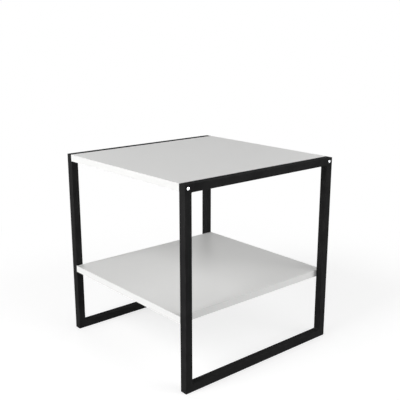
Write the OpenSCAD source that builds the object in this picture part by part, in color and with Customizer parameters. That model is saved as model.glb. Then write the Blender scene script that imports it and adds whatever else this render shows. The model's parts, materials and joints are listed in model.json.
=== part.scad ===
// Square side table. A closed loop of black square tube stands at the left and another at the
// right, and a white table top and an equal shelf are held between them.
// The origin is on the floor at the centre of the footprint, with +X right, -Y front and +Z up.

/* [Table] */
// Overall width, over the outer faces of the two frames
table_w = 500; // [400:5:800]
// Overall depth, front to back
table_d = 500; // [300:5:900]
// Overall height, from the floor to the upper face of the table top
table_h = 506; // [400:1:700]
// Height of the shelf's upper face above the floor
shelf_h = 191.5; // [100:0.5:300]

/* [Frame tube] */
// Outside width of the square tube
tube_size = 20; // [18:1:30]
// Wall thickness of the tube
tube_wall = 1.5; // [1:0.1:1.8]
// Outside radius of the tube's four long edges
tube_edge_r = 1; // [0.5:0.1:2]
// Radius of the four long corners inside the tube
tube_inner_r = 0.5; // [0.2:0.1:1]
// Radius to which the outer corners of the frames are ground
corner_r = 1.2; // [0.5:0.1:2]
// Leg length of the weld fillets
weld_leg = 2.5; // [1.5:0.5:4]

/* [Boards] */
// Thickness of the table top and of the shelf
board_t = 18; // [16:0.5:25]
// Thickness of the bands glued round the boards' edges
band_t = 1; // [1:0.1:2]
// Radius on the two outer edges of a band
band_edge_r = 0.4; // [0.2:0.1:0.4]

/* [Shelf tabs] */
// Reach of a tab under the shelf, from the leg
tab_l = 30; // [26:1:40]
// Width of a tab
tab_w = 12; // [10:1:14]
// Thickness of a tab
tab_t = 2; // [1.5:0.5:3]
// Distance of the screw in a tab from the leg
tab_screw_x = 18; // [12:1:20]

/* [Screws] */
// Outside diameter of the screw threads
thread_d = 4; // [3.5:0.5:5]
// Diameter of the plain neck of the long screws
neck_d = 3; // [2.5:0.5:3.5]
// Diameter of the screw heads
head_d = 8; // [7:0.5:9]
// Height of the pan heads on the short screws
pan_head_h = 2.4; // [2:0.2:3]
// Height of a pan head's straight rim, next to its seat
pan_rim_h = 1.2; // [0.8:0.1:1.6]
// Diameter of the flat on top of a pan head
pan_top_d = 5.6; // [5:0.1:6.5]
// Length of the tapered points of the screws
tip_l = 4; // [3:0.5:6]
// Diameter at the very end of a point
tip_d = 0.5; // [0.3:0.1:1]
// Overall length of the long screws that hold the table top
top_screw_l = 50; // [40:5:60]
// Length of the short screws that hold the shelf, under the head
shelf_screw_l = 16; // [12:1:17]
// Depth of the long screws' axes below the upper face of the table top
top_screw_drop = 10; // [8:0.5:11]
// Distance of the long screws' axes from the table's front and back
top_screw_inset = 10; // [8:0.5:12]
// Width across the wings of the cross recess in a head
recess_w = 4.4; // [3.5:0.1:5]
// Thickness of one wing of the cross recess
recess_wing = 1; // [0.8:0.1:1.2]
// Depth of the cross recess
recess_depth = 1.5; // [1:0.1:1.8]

/* [Clearances] */
// Clearance all round a thread in a board, and round a countersunk head
thread_gap = 0.05; // [0.02:0.01:0.2]
// Clearance all round a thread where it passes through steel
hole_gap = 0.3; // [0.1:0.1:0.5]
// Depth of a bore beyond the point of its screw
bore_spare = 1; // [0.5:0.5:2]

/* [Hidden] */
$fn = 64;

// Signs of the sides, along X and along Y
left = -1;
right = 1;
front = -1;
back = 1;

// The boards fill the space between the two frames, from front to back
board_w = table_w - 2 * tube_size;
board_d = table_d;
shelf_under = shelf_h - board_t;

// Flat width of a tube's face, between its rounded edges
tube_flat = tube_size - 2 * tube_edge_r;

// Width of the space inside a tube
tube_bore = tube_size - 2 * tube_wall;

// The countersunk heads are right angle cones
countersunk_h = (head_d - neck_d) / 2;

// How far cutting shapes run past the faces that they cut
overcut = 1;

frame_colour = [0.14, 0.14, 0.15];
weld_colour = [0.17, 0.17, 0.18];
board_colour = [0.93, 0.93, 0.92];
band_colour = [0.97, 0.97, 0.96];
zinc_colour = [0.82, 0.83, 0.85];

module rounded_rectangle(width, height, r) {
    square([width, height - 2 * r], center = true);
    square([width - 2 * r, height], center = true);
    for (x = [-1, 1], y = [-1, 1])
        translate([x * (width / 2 - r), y * (height / 2 - r)]) circle(r = r);
}

module tube_section() {
    difference() {
        rounded_rectangle(tube_size, tube_size, tube_edge_r);
        rounded_rectangle(tube_bore, tube_bore, tube_inner_r);
    }
}

// The side view of a tube with 45 degree ends, a little wider than the tube. Its long side lies on
// x = 0, and the two sharp corners there are ground round.
module mitred_outline(length) {
    near = -overcut;
    far = tube_size + overcut;
    intersection() {
        polygon([[near, near], [far, far], [far, length - far], [near, length - near]]);
        translate([far, length / 2])
            rounded_rectangle(2 * far, length, corner_r);
    }
}

// A tube that runs up from z = 0 and is cut at 45 degrees at both ends. Its long side lies on the
// plane y = 0, and its short side on y = tube_size.
module mitred_tube(length) {
    intersection() {
        translate([0, tube_size / 2, 0])
            linear_extrude(length) tube_section();
        rotate([90, 0, 90])
            linear_extrude(tube_size + 2 * overcut, center = true)
            mitred_outline(length);
    }
}

// Moves a shape made for the right back corner to the corner that the two signs name
module on_side(side_x, side_y) {
    mirror([side_x < 0 ? 1 : 0, 0, 0])
        mirror([0, side_y < 0 ? 1 : 0, 0])
        children();
}

// The axis of the long screw in the right back corner: z = 0 on the outer face of the frame, +Z inwards
module on_top_screw_axis() {
    translate([table_w / 2, table_d / 2 - top_screw_inset, table_h - top_screw_drop])
        rotate([0, -90, 0])
        children();
}

// The axis of the short screw in the right back corner: z = 0 under the tab, +Z up
module on_shelf_screw_axis() {
    translate([board_w / 2 - tab_screw_x, board_d / 2 - tube_size / 2, shelf_under - tab_t])
        children();
}

// The holes for the long screw in the outer and the inner wall of the frame
module frame_hole() {
    on_top_screw_axis() {
        translate([0, 0, -overcut])
            cylinder(d = thread_d + 2 * hole_gap, h = tube_size + 2 * overcut);
        cylinder(
            d1 = head_d + 2 * thread_gap,
            d2 = neck_d + 2 * thread_gap,
            h = countersunk_h
        );
    }
}

module top_bore() {
    on_top_screw_axis()
        translate([0, 0, tube_size - overcut])
        cylinder(d = thread_d + 2 * thread_gap, h = top_screw_l + bore_spare - tube_size + overcut);
}

module shelf_bore() {
    on_shelf_screw_axis()
        cylinder(d = thread_d + 2 * thread_gap, h = shelf_screw_l + bore_spare);
}

module leg(side_x, side_y) {
    color(frame_colour)
    on_side(side_x, side_y)
    difference() {
        translate([table_w / 2 - tube_size / 2, table_d / 2, 0])
            mirror([0, 1, 0])
            mitred_tube(table_h);
        frame_hole();
    }
}

// A tube along the depth of the table with its long side down, on the floor
module lying_tube(side_x) {
    translate([side_x * (table_w - tube_size) / 2, -table_d / 2, 0])
        mirror([0, 1, -1])
        mitred_tube(table_d);
}

module bottom_rail(side_x) {
    color(frame_colour) lying_tube(side_x);
}

module top_rail(side_x) {
    color(frame_colour)
    difference() {
        translate([0, 0, table_h])
            mirror([0, 0, 1])
            lying_tube(side_x);
        for (side_y = [front, back])
            on_side(side_x, side_y) frame_hole();
    }
}

// A weld fillet along X, in the corner of the planes y = 0 and z = 0
module fillet(length) {
    rotate([90, 0, 90])
        linear_extrude(length, center = true)
        polygon([[0, 0], [weld_leg, 0], [0, weld_leg]]);
}

// The fillets inside one frame: one in each of its corners, and one under each of its tabs
module welds(side_x) {
    color(weld_colour)
    for (side_y = [front, back])
        on_side(side_x, side_y) {
            translate([(table_w - tube_size) / 2, table_d / 2 - tube_size, tube_size])
                mirror([0, 1, 0])
                fillet(tube_flat);
            translate([(table_w - tube_size) / 2, table_d / 2 - tube_size, table_h - tube_size])
                mirror([0, 0, 1])
                mirror([0, 1, 0])
                fillet(tube_flat);
            translate([board_w / 2, board_d / 2 - tube_size / 2, shelf_under - tab_t])
                mirror([0, 0, 1])
                rotate([0, 0, 90])
                fillet(tab_w);
        }
}

// A flat tab with a round end, on the leg's inner face and against the shelf's underside
module tab(side_x, side_y) {
    color(frame_colour)
    on_side(side_x, side_y)
    difference() {
        translate([board_w / 2, board_d / 2 - tube_size / 2, shelf_under - tab_t])
            mirror([1, 0, 0])
            linear_extrude(tab_t) {
                translate([0, -tab_w / 2])
                    square([tab_l - tab_w / 2, tab_w]);
                translate([tab_l - tab_w / 2, 0])
                    circle(d = tab_w);
            }
        on_shelf_screw_axis()
            translate([0, 0, -overcut])
            cylinder(d = thread_d + 2 * hole_gap, h = tab_t + 2 * overcut);
    }
}

// The chipboard core of a board, inside its four edge bands
module board(upper_face) {
    translate([-board_w / 2 + band_t, -board_d / 2 + band_t, upper_face - board_t])
        cube([board_w - 2 * band_t, board_d - 2 * band_t, board_t]);
}

// The section of a band, with its glued face on x = 0 and its outer edges rounded
module band_section() {
    square([band_t - band_edge_r, board_t]);
    translate([0, band_edge_r])
        square([band_t, board_t - 2 * band_edge_r]);
    for (y = [band_edge_r, board_t - band_edge_r])
        translate([band_t - band_edge_r, y]) circle(r = band_edge_r);
}

// A band over the whole width of a board, on its front or back edge
module long_band(side_y, upper_face) {
    color(band_colour)
    on_side(right, side_y)
    translate([-board_w / 2, board_d / 2 - band_t, upper_face - board_t])
        rotate([90, 0, 90])
        linear_extrude(board_w) band_section();
}

// A band between the two long ones, on the left or right edge of a board
module short_band(side_x, upper_face) {
    on_side(side_x, back)
    translate([board_w / 2 - band_t, board_d / 2 - band_t, upper_face - board_t])
        rotate([90, 0, 0])
        linear_extrude(board_d - 2 * band_t) band_section();
}

module table_top() {
    color(board_colour)
    difference() {
        board(table_h);
        for (side_x = [left, right], side_y = [front, back])
            on_side(side_x, side_y) top_bore();
    }
}

module top_side_band(side_x) {
    color(band_colour)
    difference() {
        short_band(side_x, table_h);
        for (side_y = [front, back])
            on_side(side_x, side_y) top_bore();
    }
}

module shelf() {
    color(board_colour)
    difference() {
        board(shelf_h);
        for (side_x = [left, right], side_y = [front, back])
            on_side(side_x, side_y) shelf_bore();
    }
}

module shelf_side_band(side_x) {
    color(band_colour) short_band(side_x, shelf_h);
}

module cross_recess() {
    for (turn = [0, 90])
        rotate(turn)
        translate([-recess_w / 2, -recess_wing / 2, -overcut])
        cube([recess_w, recess_wing, recess_depth + overcut]);
}

// The thread and point of a screw, from z = start to the point at z = end
module thread(start, end) {
    translate([0, 0, start])
        cylinder(d = thread_d, h = end - tip_l - start);
    translate([0, 0, end - tip_l])
        cylinder(d1 = thread_d, d2 = tip_d, h = tip_l);
}

// A countersunk screw with the flat of its head at z = 0, and a plain neck inside the tube
module long_screw() {
    difference() {
        union() {
            cylinder(d1 = head_d, d2 = neck_d, h = countersunk_h);
            cylinder(d = neck_d, h = tube_size);
            thread(tube_size, top_screw_l);
        }
        cross_recess();
    }
}

// A pan head screw with its seat at z = 0 and its head below
module short_screw() {
    difference() {
        union() {
            thread(0, shelf_screw_l);
            translate([0, 0, -pan_rim_h])
                cylinder(d = head_d, h = pan_rim_h);
            translate([0, 0, -pan_head_h])
                cylinder(d1 = pan_top_d, d2 = head_d, h = pan_head_h - pan_rim_h);
        }
        translate([0, 0, -pan_head_h])
            cross_recess();
    }
}

module top_screws() {
    color(zinc_colour)
    for (side_x = [left, right], side_y = [front, back])
        on_side(side_x, side_y)
        on_top_screw_axis()
        long_screw();
}

module shelf_screws() {
    color(zinc_colour)
    for (side_x = [left, right], side_y = [front, back])
        on_side(side_x, side_y)
        on_shelf_screw_axis()
        short_screw();
}

leg(left, front);  // left_front_leg
leg(left, back);  // left_back_leg
top_rail(left);  // left_top_rail
bottom_rail(left);  // left_bottom_rail
welds(left);  // left_welds
tab(left, front);  // left_front_tab
tab(left, back);  // left_back_tab
leg(right, front);  // right_front_leg
leg(right, back);  // right_back_leg
top_rail(right);  // right_top_rail
bottom_rail(right);  // right_bottom_rail
welds(right);  // right_welds
tab(right, front);  // right_front_tab
tab(right, back);  // right_back_tab
table_top();
long_band(front, table_h);  // top_front_band
long_band(back, table_h);  // top_back_band
top_side_band(left);  // top_left_band
top_side_band(right);  // top_right_band
shelf();
long_band(front, shelf_h);  // shelf_front_band
long_band(back, shelf_h);  // shelf_back_band
shelf_side_band(left);  // shelf_left_band
shelf_side_band(right);  // shelf_right_band
top_screws();
shelf_screws();
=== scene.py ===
"""The looks of a square side table: a white table top and shelf between two black tube frames."""
import json
import math

import bmesh
import bpy
from mathutils import Matrix, Vector, noise


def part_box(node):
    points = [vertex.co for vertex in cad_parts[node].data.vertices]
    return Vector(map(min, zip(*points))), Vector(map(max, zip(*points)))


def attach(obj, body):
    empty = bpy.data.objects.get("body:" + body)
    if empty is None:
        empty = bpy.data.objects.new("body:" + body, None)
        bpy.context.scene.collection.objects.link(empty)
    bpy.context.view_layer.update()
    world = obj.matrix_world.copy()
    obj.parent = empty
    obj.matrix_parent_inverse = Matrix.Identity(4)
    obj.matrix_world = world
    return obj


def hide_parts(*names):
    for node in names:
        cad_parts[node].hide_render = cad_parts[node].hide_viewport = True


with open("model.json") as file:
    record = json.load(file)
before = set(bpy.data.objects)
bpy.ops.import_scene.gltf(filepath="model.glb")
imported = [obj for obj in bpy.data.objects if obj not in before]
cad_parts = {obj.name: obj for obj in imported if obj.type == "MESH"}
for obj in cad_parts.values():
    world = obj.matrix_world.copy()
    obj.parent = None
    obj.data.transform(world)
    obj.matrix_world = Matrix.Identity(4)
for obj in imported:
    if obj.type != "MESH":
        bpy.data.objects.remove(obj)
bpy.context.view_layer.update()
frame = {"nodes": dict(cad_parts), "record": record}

MM = 0.001
WHITE = (1, 1, 1, 1)

# The photograph's view: degrees, metres, pixels of a square image, and a sensor in millimetres
VIEW_AZIMUTH = 49.25
VIEW_ELEVATION = 14.90
VIEW_DISTANCE = 1.6636
VIEW_TARGET = (0.14696, -0.10883, 0.40789)
IMAGE_SIDE = 400
FOCAL_LENGTH = 682.14
OPTICAL_CENTRE = (203.02, 208.63)
SENSOR_WIDTH = 36

# Edges sharper than this, in degrees, stay sharp
SHARP_ANGLE = 40

# Light levels, where 1 lights a white surface to full white
ROOM_LEVEL = 0.15
BACKGROUND_LEVEL = 1

# The lamps: name, place and side in metres, and power in watts. All are turned towards one point
LAMP_TARGET = (0, 0, 0.3)
LAMPS = (
    ("front_low_light", (0, -3.0, 0.6), 1.2, 45.5),
    ("front_high_light", (0, -2.6, 2.6), 1.5, 45),
    ("right_low_light", (1.9, 1.2, 0.4), 0.8, 16.5),
    ("right_high_light", (2.1, 0.5, 2.2), 1.5, 18),
    ("back_light", (-0.6, 2.3, 0.7), 1.2, 12),
    ("left_light", (-2.3, 0.2, 0.7), 1.2, 11),
)

# Radius of the floor, and where its shading starts and ends its fade to plain white
FLOOR_RADIUS = 6
FLOOR_SEGMENTS = 96
FLOOR_FADE_START = 0.55
FLOOR_FADE_END = 1.3
# The floor's own colour, and the glow that lifts it towards white where it is seen
FLOOR_COLOUR = (0.5, 0.5, 0.5, 1)
FLOOR_GLOW = 0.64

# Sockets of a mix node: the factor, the two colours and the colour that comes out
MIX_FACTOR = 0
MIX_FIRST = 6
MIX_SECOND = 7
MIX_RESULT = 2

# The range in which nearly all noise lies
NOISE_LOW = 0.3
NOISE_HIGH = 0.7

# Powder coat: the sizes of its mottle, orange peel and grain, and the depths of the last two
PAINT_MOTTLE = 45 * MM
PAINT_PEEL = 2.4 * MM
PAINT_PEEL_DEPTH = 0.2 * MM
PAINT_GRAIN = 0.7 * MM
PAINT_GRAIN_DEPTH = 0.12 * MM
# The share of its shade that follows the mottle. The rest follows the grain
PAINT_MOTTLE_SHARE = 0.4
PAINT_DARK = (0.013, 0.013, 0.0132, 1)
PAINT_LIGHT = (0.029, 0.029, 0.0292, 1)
PAINT_ROUGHNESS = (0.92, 1.0)
PAINT_SPECULAR = 0.02
# Its patches along edges, rubbed smoother and painted a lighter grey that is partly wear and partly
# painted sheen: their size, the noise at which they start and are full, and how they differ
RUBBED_SHEEN_SIZE = 22 * MM
RUBBED_SHEEN_START = 0.45
RUBBED_SHEEN_FULL = 0.75
RUBBED_AND_PAINTED_SHEEN_COLOUR = (0.042, 0.042, 0.0422, 1)
RUBBED_SMOOTHING = 0.25
# The largest part of a surface's normal along x, y or z: on a flat face, and well round an edge
FLAT_FACING = 1.0
EDGE_FACING = 0.8

# Facing of the boards: the sizes of its mottle and pearl grain, and the depth of grain and seam
BOARD_MOTTLE = 60 * MM
BOARD_GRAIN = 1.2 * MM
BOARD_GRAIN_DEPTH = 0.06 * MM
BOARD_DARK = (0.80, 0.80, 0.79, 1)
BOARD_LIGHT = (0.83, 0.83, 0.82, 1)
BOARD_ROUGHNESS = (0.40, 0.48)
# The dark joint between the facing and the edge bands
SEAM = 0.15 * MM
SEAM_COLOUR = (0.42, 0.42, 0.41, 1)

# Edge band: the sizes of its mottle and grain, and the depth of the grain
BAND_MOTTLE = 40 * MM
BAND_GRAIN = 0.5 * MM
BAND_GRAIN_DEPTH = 0.01 * MM
BAND_DARK = (0.81, 0.81, 0.80, 1)
BAND_LIGHT = (0.84, 0.84, 0.83, 1)
BAND_ROUGHNESS = (0.33, 0.40)
# Both facing and band are plastic
PLASTIC_SPECULAR = 0.4

# Zinc plate: the sizes and depths of its dimples and grain
ZINC_DIMPLE = 1.8 * MM
ZINC_DIMPLE_DEPTH = 0.02 * MM
ZINC_GRAIN = 0.15 * MM
ZINC_GRAIN_DEPTH = 0.004 * MM
ZINC_DARK = (0.70, 0.71, 0.74, 1)
ZINC_LIGHT = (0.81, 0.82, 0.83, 1)
ZINC_ROUGHNESS = (0.2, 0.34)

# The legs of a weld bead, as in the part, and how far it sinks into the two surfaces that it joins
BEAD_LEG = 2.5 * MM
BEAD_SINK = 0.1 * MM
# The flat of a tube's face, on which the beads in the corners lie
CORNER_BEAD_LENGTH = 18 * MM
# A bead's shape: 0 is a flat face and 1 a quarter circle
BEAD_CROWN = 0.5
# The spacing of a bead's ripples, their depth as a share of its size, and their bow in spacings
RIPPLE_PITCH = 1.1 * MM
RIPPLE_DEPTH = 0.09
RIPPLE_BOW = 0.6
# The unevenness of a bead as a share of its size, its length, and how far it leans to the thin side
BEAD_WAVER = 0.1
BEAD_WAVER_LENGTH = 4 * MM
BEAD_THINNING = 0.5
# A bead's size at its ends, as a share of its full size, and the length over which it grows
BEAD_END_SIZE = 0.35
BEAD_END_LENGTH = 1.5 * MM
# How finely a bead is meshed
RINGS_PER_RIPPLE = 8
POINTS_PER_RING = 10

# The screws, with the part's sizes: heads, shanks and overall lengths
HEAD = 8 * MM
NECK = 3 * MM
THREAD = 4 * MM
LONG_SCREW = 50 * MM
SHORT_SCREW = 16 * MM
SCREW_TIP = 4 * MM
TUBE = 20 * MM
PAN_HEIGHT = 2.4 * MM
PAN_RIM = 0.9 * MM
# Thread: diameter between the ridges, pitch, and the share of the pitch that a ridge takes up
THREAD_CORE = 2.7 * MM
THREAD_PITCH = 1.8 * MM
RIDGE_SHARE = 0.45
# The round on the edge of a countersunk head and its turn from the face to the cone, and where the
# flat of a pan head ends
HEAD_ROUND = 0.15 * MM
HEAD_ROUND_TURN = math.pi * 3 / 4
PAN_FLAT = 1.6 * MM
# Cross recess: width over the wings, thickness of a wing and depth, and how much it narrows
RECESS_WIDTH = 4.4 * MM
RECESS_WING = 1 * MM
RECESS_DEPTH = 1.5 * MM
RECESS_NARROWING = 0.45
# How finely a screw is meshed
SCREW_SEGMENTS = 32
RINGS_PER_PITCH = 8
ROUND_STEPS = 6
# Angles at which the cross recesses came to rest, in degrees
SCREW_TURNS = (12, 71, 38, 55)


class Graph:
    """The nodes of a material or world, with short calls that add and join them."""

    def __init__(self, tree):
        self.tree = tree
        tree.nodes.clear()

    def add(self, kind, inputs=None, **settings):
        """Adds a node. An input that is given a socket is joined to it, and any other is set."""
        node = self.tree.nodes.new(kind)
        for name, value in settings.items():
            setattr(node, name, value)
        for name, value in (inputs or {}).items():
            if isinstance(value, bpy.types.NodeSocket):
                self.tree.links.new(value, node.inputs[name])
            else:
                node.inputs[name].default_value = value
        return node

    def shader(self, kind, inputs=None):
        """Adds a shader node and gives what comes out of it."""
        return self.add(kind, inputs).outputs[0]

    def math(self, operation, first, second=0.0):
        return self.add("ShaderNodeMath", {0: first, 1: second}, operation=operation).outputs[0]

    def ramp(self, value, low, high, to_low=0.0, to_high=1.0, smooth=False):
        """Turns low..high of a value into to_low..to_high."""
        node = self.add(
            "ShaderNodeMapRange",
            {"Value": value, "From Min": low, "From Max": high, "To Min": to_low, "To Max": to_high},
            interpolation_type="SMOOTHSTEP" if smooth else "LINEAR",
        )
        return node.outputs["Result"]

    def noise(self, place, size, detail=2.0):
        """Noise with features of about this size, in metres."""
        inputs = {"Vector": place, "Scale": 1 / size, "Detail": detail}
        return self.add("ShaderNodeTexNoise", inputs).outputs["Fac"]

    def spread(self, noise, to_low=0.0, to_high=1.0):
        """Turns the range in which noise lies into to_low..to_high."""
        return self.ramp(noise, NOISE_LOW, NOISE_HIGH, to_low, to_high)

    def bump(self, height, depth, normal=None):
        """Bump from a height of 0 to 1 that stands for a depth in metres."""
        inputs = {"Height": height, "Strength": 1.0, "Distance": depth}
        if normal is not None:
            inputs["Normal"] = normal
        return self.add("ShaderNodeBump", inputs).outputs["Normal"]

    def colour(self, value, first, second):
        """A colour between two, by a value from 0 to 1."""
        inputs = {MIX_FACTOR: value, MIX_FIRST: first, MIX_SECOND: second}
        return self.add("ShaderNodeMix", inputs, data_type="RGBA").outputs[MIX_RESULT]

    def place(self):
        """The point of the surface in the table's own frame, in metres."""
        return self.add("ShaderNodeTexCoord").outputs["Object"]


def new_material(name):
    material = bpy.data.materials.new(name)
    material.use_nodes = True
    return material, Graph(material.node_tree)


def finish_material(graph, shader):
    graph.add("ShaderNodeOutputMaterial", {"Surface": shader})


def finish_surface(graph, inputs):
    """Ends a material of the table with a shader that has these inputs."""
    finish_material(graph, graph.shader("ShaderNodeBsdfPrincipled", inputs))


def on_edges(graph):
    """1 on rounded edges and weld beads, and 0 on faces that lie square to the table."""
    normal = graph.add("ShaderNodeNewGeometry").outputs["Normal"]
    parts = graph.add("ShaderNodeSeparateXYZ", {0: normal}).outputs
    x, y, z = [graph.math("ABSOLUTE", part) for part in parts]
    facing = graph.math("MAXIMUM", x, graph.math("MAXIMUM", y, z))
    return graph.ramp(facing, FLAT_FACING, EDGE_FACING)


def frame_paint():
    """Matt black powder coat: orange peel, a sandy grain, and patches along edges rubbed smoother and
    painted lighter, partly as wear and partly as a painted sheen.
    """
    material, graph = new_material("frame_paint")
    place = graph.place()
    mottle = graph.noise(place, PAINT_MOTTLE)
    grain = graph.noise(place, PAINT_GRAIN, detail=1.0)
    peel = graph.noise(place, PAINT_PEEL)
    from_mottle = graph.math("MULTIPLY", mottle, PAINT_MOTTLE_SHARE)
    from_grain = graph.math("MULTIPLY", grain, 1 - PAINT_MOTTLE_SHARE)
    shade = graph.spread(graph.math("ADD", from_mottle, from_grain))
    # Along edges the colour is lifted to a lighter grey: partly rubbed wear, partly painted sheen
    patches = graph.ramp(graph.noise(place, RUBBED_SHEEN_SIZE, detail=4.0), RUBBED_SHEEN_START, RUBBED_SHEEN_FULL)
    rubbed_and_sheen = graph.math("MULTIPLY", on_edges(graph), patches)
    smoothing = graph.math("MULTIPLY", rubbed_and_sheen, RUBBED_SMOOTHING)
    finish_surface(graph, {
        "Base Color": graph.colour(rubbed_and_sheen, graph.colour(shade, PAINT_DARK, PAINT_LIGHT), RUBBED_AND_PAINTED_SHEEN_COLOUR),
        "Roughness": graph.math("SUBTRACT", graph.spread(mottle, *PAINT_ROUGHNESS), smoothing),
        "Specular IOR Level": PAINT_SPECULAR,
        "Normal": graph.bump(grain, PAINT_GRAIN_DEPTH, graph.bump(peel, PAINT_PEEL_DEPTH)),
    })
    return material


def board():
    """White melamine facing: a close pearl grain, a faint mottle, and a seam at its edge bands."""
    material, graph = new_material("board")
    place = graph.place()
    mottle = graph.noise(place, BOARD_MOTTLE)
    grain = graph.noise(place, BOARD_GRAIN, detail=3.0)
    seam = edge_seam(graph, place)
    finish_surface(graph, {
        "Base Color": graph.colour(seam, graph.colour(mottle, BOARD_DARK, BOARD_LIGHT), SEAM_COLOUR),
        "Roughness": graph.spread(mottle, *BOARD_ROUGHNESS),
        "Specular IOR Level": PLASTIC_SPECULAR,
        "Normal": graph.bump(graph.math("SUBTRACT", grain, seam), BOARD_GRAIN_DEPTH),
    })
    return material


def edge_seam(graph, place):
    """1 along the edges of the boards' facing, where it meets the edge bands, and 0 elsewhere."""
    # The shelf has the same outline as the table top
    _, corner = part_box("table_top")
    across = graph.add("ShaderNodeSeparateXYZ", {0: place}).outputs
    seams = [
        graph.ramp(graph.math("ABSOLUTE", across[axis]), corner[axis] - SEAM, corner[axis] - SEAM / 2)
        for axis in (0, 1)
    ]
    return graph.math("MAXIMUM", *seams)


def edge_band():
    """Smooth white plastic band, a little glossier than the boards' faces."""
    material, graph = new_material("edge_band")
    place = graph.place()
    mottle = graph.noise(place, BAND_MOTTLE)
    grain = graph.noise(place, BAND_GRAIN)
    finish_surface(graph, {
        "Base Color": graph.colour(mottle, BAND_DARK, BAND_LIGHT),
        "Roughness": graph.spread(mottle, *BAND_ROUGHNESS),
        "Specular IOR Level": PLASTIC_SPECULAR,
        "Normal": graph.bump(grain, BAND_GRAIN_DEPTH),
    })
    return material


def zinc_screw():
    """Bright zinc plate: shallow dimples from the forging, a fine grain and an uneven sheen."""
    material, graph = new_material("zinc_screw")
    place = graph.place()
    dimples = graph.noise(place, ZINC_DIMPLE)
    grain = graph.noise(place, ZINC_GRAIN)
    finish_surface(graph, {
        "Base Color": graph.colour(graph.spread(dimples), ZINC_DARK, ZINC_LIGHT),
        "Metallic": 1.0,
        "Roughness": graph.spread(grain, *ZINC_ROUGHNESS),
        "Normal": graph.bump(grain, ZINC_GRAIN_DEPTH, graph.bump(dimples, ZINC_DIMPLE_DEPTH)),
    })
    return material


def unlit_rays(graph):
    """1 for rays from the camera, in a reflection or through glass, and 0 for rays that light."""
    rays = graph.add("ShaderNodeLightPath").outputs
    seen = graph.math("MAXIMUM", rays["Is Camera Ray"], rays["Is Glossy Ray"])
    return graph.math("MAXIMUM", seen, rays["Is Transmission Ray"])


def make_floor():
    """A round pale floor that keeps the table's soft shadow and fades to white further out."""
    mesh = bmesh.new()
    bmesh.ops.create_circle(mesh, cap_ends=True, segments=FLOOR_SEGMENTS, radius=FLOOR_RADIUS)
    data = bpy.data.meshes.new("floor")
    mesh.to_mesh(data)
    mesh.free()
    floor = bpy.data.objects.new("floor", data)
    bpy.context.scene.collection.objects.link(floor)
    material, graph = new_material("floor")
    place = graph.place()
    distance = graph.add("ShaderNodeVectorMath", {0: place}, operation="LENGTH").outputs["Value"]
    far = graph.ramp(distance, FLOOR_FADE_START, FLOOR_FADE_END, smooth=True)
    matt = graph.shader("ShaderNodeBsdfDiffuse", {"Color": FLOOR_COLOUR})
    glow = graph.shader("ShaderNodeEmission", {"Strength": FLOOR_GLOW})
    white = graph.shader("ShaderNodeEmission", {"Strength": BACKGROUND_LEVEL})
    near = graph.shader("ShaderNodeAddShader", {0: matt, 1: glow})
    shown = graph.shader("ShaderNodeMixShader", {0: far, 1: near, 2: white})
    mixed = graph.shader("ShaderNodeMixShader", {0: unlit_rays(graph), 1: matt, 2: shown})
    clear = graph.shader("ShaderNodeBsdfTransparent")
    below = graph.add("ShaderNodeNewGeometry").outputs["Backfacing"]
    finish_material(graph, graph.shader("ShaderNodeMixShader", {0: below, 1: mixed, 2: clear}))
    data.materials.append(material)


def make_world():
    """A white room: soft light on the table, and a white background wherever it is seen."""
    world = bpy.data.worlds.new("room")
    world.use_nodes = True
    graph = Graph(world.node_tree)
    soft = graph.shader("ShaderNodeBackground", {"Color": WHITE, "Strength": ROOM_LEVEL})
    white = graph.shader("ShaderNodeBackground", {"Color": WHITE, "Strength": BACKGROUND_LEVEL})
    mixed = graph.shader("ShaderNodeMixShader", {0: unlit_rays(graph), 1: soft, 2: white})
    graph.add("ShaderNodeOutputWorld", {"Surface": mixed})
    bpy.context.scene.world = world


def make_lamp(name, place, side, power):
    """A square lamp that is turned towards the table."""
    data = bpy.data.lights.new(name, "AREA")
    data.shape = "SQUARE"
    data.size = side
    data.energy = power
    lamp = bpy.data.objects.new(name, data)
    lamp.location = place
    lamp.rotation_mode = "QUATERNION"
    lamp.rotation_quaternion = (Vector(LAMP_TARGET) - Vector(place)).to_track_quat("-Z", "Y")
    bpy.context.scene.collection.objects.link(lamp)


def make_camera():
    azimuth = math.radians(VIEW_AZIMUTH)
    elevation = math.radians(VIEW_ELEVATION)
    back = Vector((
        math.sin(azimuth) * math.cos(elevation),
        -math.cos(azimuth) * math.cos(elevation),
        math.sin(elevation),
    ))
    data = bpy.data.cameras.new("camera")
    data.sensor_width = SENSOR_WIDTH
    data.lens = FOCAL_LENGTH / IMAGE_SIDE * SENSOR_WIDTH
    data.shift_x = 0.5 - OPTICAL_CENTRE[0] / IMAGE_SIDE
    data.shift_y = OPTICAL_CENTRE[1] / IMAGE_SIDE - 0.5
    camera = bpy.data.objects.new("camera", data)
    camera.location = Vector(VIEW_TARGET) + back * VIEW_DISTANCE
    camera.rotation_mode = "QUATERNION"
    camera.rotation_quaternion = (-back).to_track_quat("-Z", "Y")
    bpy.context.scene.collection.objects.link(camera)
    bpy.context.scene.camera = camera


def paint_nodes():
    """Gives each CAD node the material of its slot in the record, in place of the plain ones."""
    for plain in list(bpy.data.materials):
        bpy.data.materials.remove(plain)
    materials = {
        "frame_paint": frame_paint(),
        "board": board(),
        "edge_band": edge_band(),
        "zinc_screw": zinc_screw(),
    }
    for subpart in frame["record"]["subparts"]:
        node = frame["nodes"][subpart["node"]]
        node.data.materials.clear()
        node.data.materials.append(materials[subpart["material_slot"]])
    return materials


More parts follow.
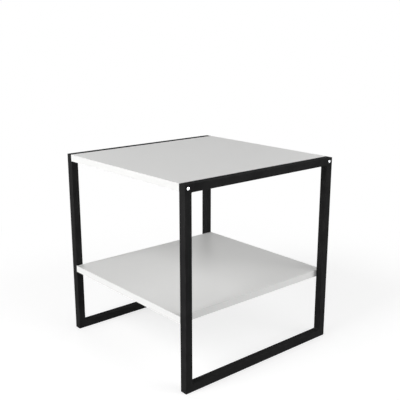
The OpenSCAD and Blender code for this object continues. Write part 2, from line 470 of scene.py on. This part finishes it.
def bead_ring(mesh, point, first, second, size, phase):
    """One cross-section of a bead, in the corner between surfaces that run off along two directions."""
    ring = [mesh.verts.new(point - (first + second) * BEAD_SINK)]
    for index in range(POINTS_PER_RING + 1):
        angle = index / POINTS_PER_RING * math.pi / 2
        straight = 1 / (math.cos(angle) + math.sin(angle))
        crest = abs(math.sin(math.pi * (phase + RIPPLE_BOW * math.sin(2 * angle))))
        ripple = 1 - RIPPLE_DEPTH * (1 - crest) * math.sin(2 * angle)
        reach = size * ripple * (straight + (1 - straight) * BEAD_CROWN)
        ring.append(mesh.verts.new(point + (first * math.cos(angle) + second * math.sin(angle)) * reach))
    return ring


def add_bead(mesh, middle, along, first, second, length):
    """Adds a rippled weld bead with rounded ends, centred on a point of the corner that it fills."""
    steps = round(length / RIPPLE_PITCH * RINGS_PER_RIPPLE)
    rings = []
    for step in range(steps + 1):
        offset = (step / steps - 0.5) * length
        point = middle + along * offset
        to_end = min((length / 2 - abs(offset)) / BEAD_END_LENGTH, 1)
        rounded = math.sqrt(to_end * (2 - to_end))
        waver = 1 + BEAD_WAVER * (noise.noise(point / BEAD_WAVER_LENGTH) - BEAD_THINNING)
        size = BEAD_LEG * waver * (BEAD_END_SIZE + (1 - BEAD_END_SIZE) * rounded)
        rings.append(bead_ring(mesh, point, first, second, size, offset / RIPPLE_PITCH))
    for before, after in zip(rings, rings[1:]):
        for index in range(len(before)):
            following = (index + 1) % len(before)
            mesh.faces.new((before[index], before[following], after[following], after[index]))
    mesh.faces.new(rings[0])
    mesh.faces.new(rings[-1])


def add_corner_beads(mesh, side, end, inward):
    """Adds the beads in the two inner corners at one end of a frame."""
    leg_low, leg_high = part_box(f"{side}_{end}_leg")
    inner = leg_high.y if inward > 0 else leg_low.y
    middle = (leg_low.x + leg_high.x) / 2
    floor_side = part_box(f"{side}_bottom_rail")[1].z
    top_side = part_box(f"{side}_top_rail")[0].z
    for height, away in ((floor_side, 1), (top_side, -1)):
        corner = Vector((middle, inner, height))
        along = Vector((1, 0, 0))
        add_bead(mesh, corner, along, Vector((0, inward, 0)), Vector((0, 0, away)), CORNER_BEAD_LENGTH)


def add_tab_bead(mesh, side, end, inward):
    """Adds the bead under the tab that a leg carries."""
    leg_low, leg_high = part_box(f"{side}_{end}_leg")
    tab_low, tab_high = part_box(f"{side}_{end}_tab")
    inner = leg_high.x if inward > 0 else leg_low.x
    corner = Vector((inner, (tab_low.y + tab_high.y) / 2, tab_low.z))
    along = Vector((0, 1, 0))
    add_bead(mesh, corner, along, Vector((inward, 0, 0)), Vector((0, 0, -1)), tab_high.y - tab_low.y)


def make_weld_beads(side, inward, material):
    """The weld beads of one frame, in place of the plain fillets of the part."""
    mesh = bmesh.new()
    for end, backward in (("front", 1), ("back", -1)):
        add_corner_beads(mesh, side, end, backward)
        add_tab_bead(mesh, side, end, inward)
    add_piece(f"{side}_weld_beads", mesh, material, f"{side}_welds")


def add_piece(name, mesh, material, node):
    """Turns a bmesh into a piece of the table that stands for a CAD node."""
    bmesh.ops.recalc_face_normals(mesh, faces=mesh.faces)
    for face in mesh.faces:
        face.smooth = True
    data = bpy.data.meshes.new(name)
    mesh.to_mesh(data)
    mesh.free()
    data.set_sharp_from_angle(angle=math.radians(SHARP_ANGLE))
    data.materials.append(material)
    piece = bpy.data.objects.new(name, data)
    bpy.context.scene.collection.objects.link(piece)
    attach(piece, "root")
    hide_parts(node)


def countersunk_outline():
    """Radius and height of each ring of the long screw's head and neck, from its face inwards."""
    outline = []
    # The round touches the face and the cone, which meet at 45 degrees
    middle = HEAD / 2 - HEAD_ROUND * (1 + math.sqrt(2))
    for step in range(ROUND_STEPS + 1):
        angle = step / ROUND_STEPS * HEAD_ROUND_TURN
        outline.append((middle + HEAD_ROUND * math.sin(angle), HEAD_ROUND * (1 - math.cos(angle))))
    depth = (HEAD - NECK) / 2
    return outline + [(NECK / 2, depth), (NECK / 2, TUBE)]


def pan_outline():
    """Radius and height of each ring of the short screw's head, from its top to its seat."""
    outline = []
    for step in range(ROUND_STEPS + 1):
        angle = step / ROUND_STEPS * math.pi / 2
        radius = PAN_FLAT + (HEAD / 2 - PAN_FLAT) * math.sin(angle)
        outline.append((radius, -PAN_RIM - (PAN_HEIGHT - PAN_RIM) * math.cos(angle)))
    return outline + [(HEAD / 2, 0), (THREAD_CORE / 2, 0)]


def thread_radius(height, angle, start, end):
    """Radius of a thread that rises out of its core over one turn and runs out in a tapered point."""
    turn = height / THREAD_PITCH - angle / math.tau
    from_crest = abs(turn % 1 - 0.5) * 2
    ridge = max(0, 1 - from_crest / RIDGE_SHARE) * min((height - start) / THREAD_PITCH, 1)
    taper = min((end - height) / SCREW_TIP, 1)
    return (THREAD_CORE + (THREAD - THREAD_CORE) * ridge) / 2 * taper


def screw_blank(outline, start, end):
    """A turned head and neck with a thread from one height to a point at another."""
    mesh = bmesh.new()
    angles = [index / SCREW_SEGMENTS * math.tau for index in range(SCREW_SEGMENTS)]
    rings = [[(radius, height) for _ in angles] for radius, height in outline]
    steps = round((end - start) / THREAD_PITCH * RINGS_PER_PITCH)
    for step in range(1, steps):
        height = start + (end - start) * step / steps
        rings.append([(thread_radius(height, angle, start, end), height) for angle in angles])
    rings = [
        [mesh.verts.new((radius * math.cos(angle), radius * math.sin(angle), height))
         for angle, (radius, height) in zip(angles, ring)]
        for ring in rings
    ]
    for before, after in zip(rings, rings[1:]):
        for index in range(SCREW_SEGMENTS):
            following = (index + 1) % SCREW_SEGMENTS
            mesh.faces.new((before[index], before[following], after[following], after[index]))
    mesh.faces.new(rings[0])
    point = mesh.verts.new((0, 0, end))
    for index, corner in enumerate(rings[-1]):
        mesh.faces.new((corner, rings[-1][(index + 1) % SCREW_SEGMENTS], point))
    return mesh


def recess_cutter(face):
    """A cross that narrows from the head's face inwards and ends in a blunt point."""
    mesh = bmesh.new()
    rings = []
    for depth in (-RECESS_DEPTH, RECESS_DEPTH):
        share = 1 - RECESS_NARROWING * depth / RECESS_DEPTH
        reach = RECESS_WIDTH / 2 * share
        wing = RECESS_WING / 2 * share
        ring = []
        for quarter in range(4):
            turn = Matrix.Rotation(quarter * math.pi / 2, 3, "Z")
            for x, y in ((reach, -wing), (reach, wing), (wing, wing)):
                ring.append(mesh.verts.new(turn @ Vector((x, y, face + depth))))
        rings.append(ring)
    first, last = rings
    for index in range(len(first)):
        following = (index + 1) % len(first)
        mesh.faces.new((first[index], first[following], last[following], last[index]))
    mesh.faces.new(first)
    point = mesh.verts.new((0, 0, face + RECESS_DEPTH + RECESS_WING / 2))
    for index, corner in enumerate(last):
        mesh.faces.new((corner, last[(index + 1) % len(last)], point))
    return mesh


def carved(blank, cutter):
    """The mesh of a blank with the cutter taken out of it."""
    objects = []
    for mesh in (blank, cutter):
        bmesh.ops.recalc_face_normals(mesh, faces=mesh.faces)
        data = bpy.data.meshes.new("tool")
        mesh.to_mesh(data)
        mesh.free()
        tool = bpy.data.objects.new("tool", data)
        bpy.context.scene.collection.objects.link(tool)
        objects.append(tool)
    cut = objects[0].modifiers.new("recess", "BOOLEAN")
    cut.operation = "DIFFERENCE"
    cut.solver = "EXACT"
    cut.object = objects[1]
    seen = objects[0].evaluated_get(bpy.context.evaluated_depsgraph_get())
    result = bpy.data.meshes.new_from_object(seen)
    for tool in objects:
        bpy.data.meshes.remove(tool.data)
    return result


def add_screws(name, shape, places, material, node):
    """Sets copies of one screw, each given by its place and the direction of its point."""
    mesh = bmesh.new()
    for (place, direction), degrees in zip(places, SCREW_TURNS):
        copy = shape.copy()
        upright = direction.to_track_quat("Z", "Y").to_matrix().to_4x4()
        turned = Matrix.Rotation(math.radians(degrees), 4, "Z")
        copy.transform(Matrix.Translation(place) @ upright @ turned)
        mesh.from_mesh(copy)
        bpy.data.meshes.remove(copy)
    bpy.data.meshes.remove(shape)
    add_piece(name, mesh, material, node)


def make_long_screws(material):
    """The countersunk screws through the frames into the ends of the table top."""
    low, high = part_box("top_screws")
    places = []
    for x, inwards in ((low.x, 1), (high.x, -1)):
        for y in (low.y + HEAD / 2, high.y - HEAD / 2):
            places.append((Vector((x, y, high.z - HEAD / 2)), Vector((inwards, 0, 0))))
    shape = carved(screw_blank(countersunk_outline(), TUBE, LONG_SCREW), recess_cutter(0))
    add_screws("long_screws", shape, places, material, "top_screws")


def make_short_screws(material):
    """The pan head screws up through the tabs into the shelf."""
    low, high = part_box("shelf_screws")
    places = []
    for x in (low.x + HEAD / 2, high.x - HEAD / 2):
        for y in (low.y + HEAD / 2, high.y - HEAD / 2):
            places.append((Vector((x, y, low.z + PAN_HEIGHT)), Vector((0, 0, 1))))
    shape = carved(screw_blank(pan_outline(), 0, SHORT_SCREW), recess_cutter(-PAN_HEIGHT))
    add_screws("short_screws", shape, places, material, "shelf_screws")


make_camera()
make_world()
for lamp in LAMPS:
    make_lamp(*lamp)
materials = paint_nodes()
make_floor()
make_weld_beads("left", 1, materials["frame_paint"])
make_weld_beads("right", -1, materials["frame_paint"])
make_long_screws(materials["zinc_screw"])
make_short_screws(materials["zinc_screw"])

bpy.context.scene.view_settings.view_transform = "Standard"
